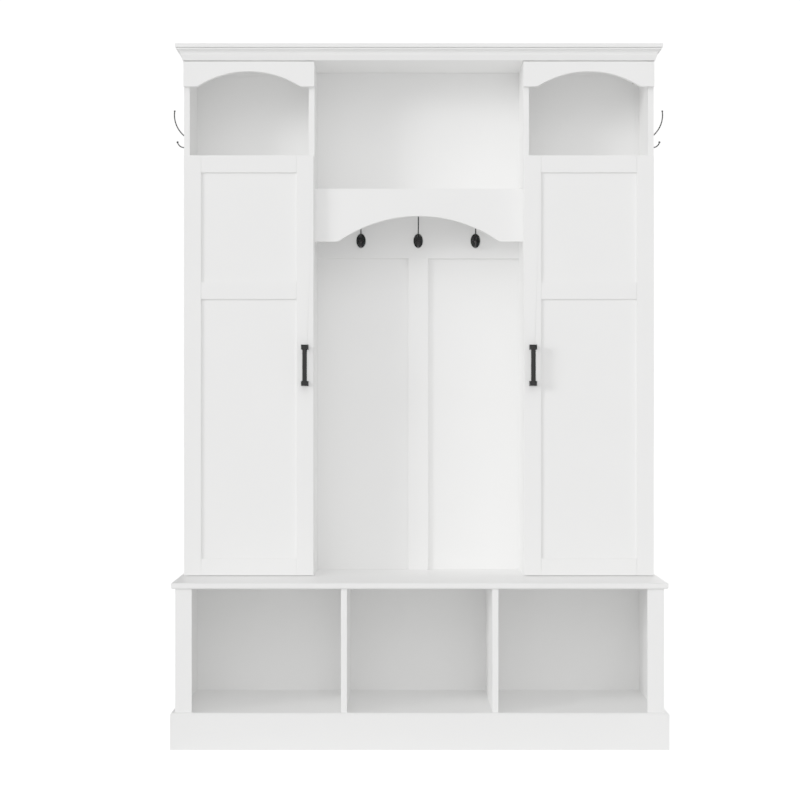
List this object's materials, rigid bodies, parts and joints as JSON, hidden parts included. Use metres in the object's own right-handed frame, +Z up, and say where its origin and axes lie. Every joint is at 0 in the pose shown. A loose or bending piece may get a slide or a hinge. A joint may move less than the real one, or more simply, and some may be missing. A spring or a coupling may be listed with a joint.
{
  "type": "hall tree with hooks",
  "caption": "Freestanding hall tree: an open cubby bench under door cabinets and a coat bay with double hooks, arched valances and a moulded crown.",
  "frame": {"origin": "on the floor, at the middle of the footprint, halfway between the backs and the plinth's front", "axes": "+Z up, -Y is the front, the back stands against a wall at +Y, +X is the right-hand side for a person facing the front"},
  "size_m": [1.3232, 0.4, 1.83],
  "materials": {
    "white_paint": "satin white paint on board",
    "black_casting": "satin black",
    "dark_bronze": "dark satin metal",
    "bright_steel": "nickel plate",
    "cast_zinc": "bare zinc",
    "beech": "bare wood"
  },
  "bodies": {
    "cabinet": {"bench_plinth_front": "white_paint", "bench_plinth_left": "white_paint", "bench_plinth_right": "white_paint", "bench_side_left": "white_paint", "bench_side_right": "white_paint", "bench_stile_left": "white_paint", "bench_stile_right": "white_paint", "bench_rail_front": "white_paint", "bench_floor": "white_paint", "bench_divider_left": "white_paint", "bench_divider_right": "white_paint", "bench_back": "white_paint", "bench_top": "white_paint", "tower_side_left": "white_paint", "tower_side_right": "white_paint", "tower_partition_left": "white_paint", "tower_partition_right": "white_paint", "cubby_shelf_left": "white_paint", "cubby_shelf_right": "white_paint", "inner_shelves": "white_paint", "tower_back_left": "white_paint", "tower_back_right": "white_paint", "tower_valance_left": "white_paint", "tower_valance_right": "white_paint", "centre_back": "white_paint", "centre_shelf": "white_paint", "centre_valance": "white_paint", "hook_rail": "white_paint", "centre_batten": "white_paint", "top_panel": "white_paint", "crown_spacers": "white_paint", "crown_cap": "white_paint", "crown_front": "white_paint", "crown_left": "white_paint", "crown_right": "white_paint", "coat_hooks": "black_casting", "hinge_arms": "bright_steel", "wood_screws": "black_casting", "wood_dowels": "beech", "cam_fittings": "cast_zinc", "shelf_pins": "bright_steel", "wall_brackets": "bright_steel"},
    "left_hinge_link": {"hinge_links_left": "bright_steel"},
    "left_door": {"door_left_stile_outer": "white_paint", "door_left_stile_inner": "white_paint", "door_left_rails": "white_paint", "door_left_panel_upper": "white_paint", "door_left_panel_lower": "white_paint", "door_left_pull": "dark_bronze", "pull_screws_left": "bright_steel", "hinge_cups_left": "bright_steel"},
    "right_hinge_link": {"hinge_links_right": "bright_steel"},
    "right_door": {"door_right_stile_outer": "white_paint", "door_right_stile_inner": "white_paint", "door_right_rails": "white_paint", "door_right_panel_upper": "white_paint", "door_right_panel_lower": "white_paint", "door_right_pull": "dark_bronze", "pull_screws_right": "bright_steel", "hinge_cups_right": "bright_steel"}
  },
  "joints": [
    {"name": "left_hinge_link_swing", "type": "hinge", "parent": "cabinet", "child": "left_hinge_link", "pos_m": [-0.595, 0.003, 0.9815], "axis": [0, 0, -1], "range_deg": [-30, 0]},
    {"name": "left_door_swing", "type": "hinge", "parent": "left_hinge_link", "child": "left_door", "pos_m": [-0.615, -0.002, 0.9815], "axis": [0, 0, -1], "range_deg": [0, 120]},
    {"name": "right_hinge_link_swing", "type": "hinge", "parent": "cabinet", "child": "right_hinge_link", "pos_m": [0.595, 0.003, 0.9815], "axis": [0, 0, 1], "range_deg": [-30, 0]},
    {"name": "right_door_swing", "type": "hinge", "parent": "right_hinge_link", "child": "right_door", "pos_m": [0.615, -0.002, 0.9815], "axis": [0, 0, 1], "range_deg": [0, 120]}
  ],
  "couplings": [
    {"joint": "left_hinge_link_swing", "follows": "left_door_swing", "ratio": -0.245},
    {"joint": "right_hinge_link_swing", "follows": "right_door_swing", "ratio": -0.245}
  ]
}
